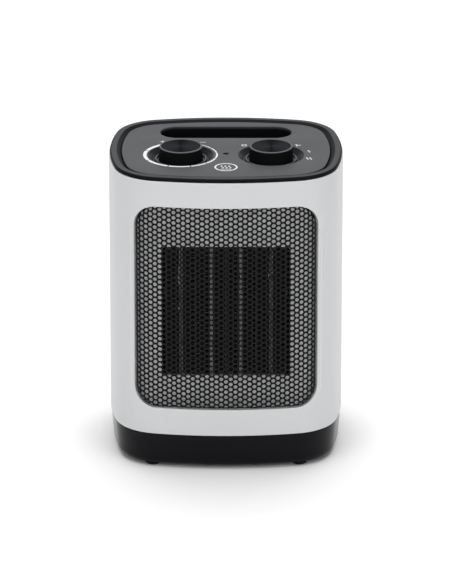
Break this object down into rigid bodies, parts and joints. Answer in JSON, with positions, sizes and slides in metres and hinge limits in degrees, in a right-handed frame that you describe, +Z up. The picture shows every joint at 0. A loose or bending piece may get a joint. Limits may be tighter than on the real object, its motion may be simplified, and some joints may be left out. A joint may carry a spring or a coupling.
{
  "type": "ceramic space heater",
  "caption": "Upright ceramic fan heater: white rounded shell, perforated front outlet, dark top panel with two dials and a handle slot, on a black base.",
  "frame": {"origin": "on the floor under the middle of the casing, at the bottom of the feet", "axes": "+Z up, -Y out of the air outlet at the front, +X to the right seen from the front"},
  "size_m": [0.188, 0.155, 0.2547],
  "materials": {
    "white_casing": "satin white moulded ABS, faint spark texture",
    "black_base": "fine spark texture, semi-matte black",
    "black_rim": "satin black moulded trim",
    "grey_panel": "matte dark grey moulded panel",
    "black_perforated_steel": "semi-gloss black powder coat",
    "black_inner_plastic": "plain black moulding",
    "knob_black": "satin black",
    "knob_metal": "dark spun metal, circular brushing",
    "heater_aluminium": "mill finish",
    "fin_aluminium": "thin folded strip, darkened",
    "ceramic": "fired ceramic stone",
    "brass": "plain",
    "steel": "zinc plated",
    "lamination": "stacked sheet edges",
    "copper_coil": "enamelled wire under varnish",
    "bronze": "oil-soaked sintered bronze",
    "cream_insulator": "phenolic moulding",
    "rubber": "soft black rubber",
    "red_lens": "translucent red"
  },
  "bodies": {
    "housing": {"base_tray": "black_base", "rubber_feet": "rubber", "base_screws": "steel", "cord_gland": "black_inner_plastic", "terminal_block": "cream_insulator", "tip_switch_body": "black_inner_plastic", "tip_spring": "steel", "front_casing": "white_casing", "rear_casing": "white_casing", "casing_screws": "steel", "rear_intake_grille": "black_inner_plastic", "front_grille": "black_perforated_steel", "outlet_frame": "white_casing", "outlet_screws": "steel", "heater_tubes": "heater_aluminium", "heater_stones": "ceramic", "heater_fins": "fin_aluminium", "heater_plates": "heater_aluminium", "heater_top_holder": "black_inner_plastic", "heater_bottom_holder": "black_inner_plastic", "heater_terminals": "brass", "thermal_cutoff": "cream_insulator", "thermal_fuse": "cream_insulator", "air_duct": "black_inner_plastic", "duct_screws": "steel", "motor_mount": "black_inner_plastic", "motor_front_bracket": "steel", "motor_rear_bracket": "steel", "motor_bushes": "bronze", "motor_stator": "lamination", "motor_coil": "copper_coil", "motor_screws": "steel", "top_rim": "black_rim", "control_panel": "grey_panel", "panel_screws": "steel", "handle_well": "black_inner_plastic", "knob_collars": "grey_panel", "thermostat_body": "cream_insulator", "thermostat_nut": "steel", "mode_switch_body": "cream_insulator", "mode_switch_nut": "steel", "indicator_lens": "red_lens", "indicator_lamp": "cream_insulator"},
    "thermostat_dial": {"thermostat_knob": "knob_black", "thermostat_knob_cap": "knob_metal", "thermostat_shaft": "steel"},
    "mode_dial": {"mode_knob": "knob_black", "mode_knob_cap": "knob_metal", "mode_shaft": "steel"},
    "fan": {"fan_impeller": "black_inner_plastic", "motor_shaft": "steel", "motor_rotor": "lamination"},
    "tip_pin": {"tip_plunger": "cream_insulator"}
  },
  "joints": [
    {"name": "thermostat_turn", "type": "hinge", "parent": "housing", "child": "thermostat_dial", "pos_m": [-0.0361, -0.0141, 0.245], "axis": [0, 0, -1], "range_deg": [0, 300]},
    {"name": "mode_turn", "type": "hinge", "parent": "housing", "child": "mode_dial", "pos_m": [0.0361, -0.0141, 0.245], "axis": [0, 0, -1], "range_deg": [0, 150]},
    {"name": "fan_spin", "type": "hinge", "parent": "housing", "child": "fan", "pos_m": [0, 0, 0.13065], "axis": [0, 1, 0], "continuous": true},
    {"name": "tip_press", "type": "slide", "parent": "housing", "child": "tip_pin", "axis": [0, 0, -1], "range_m": [0, 0.005], "stiffness_N_per_m": 60, "springref_m": 0.008, "deforming": ["tip_spring"]}
  ]
}
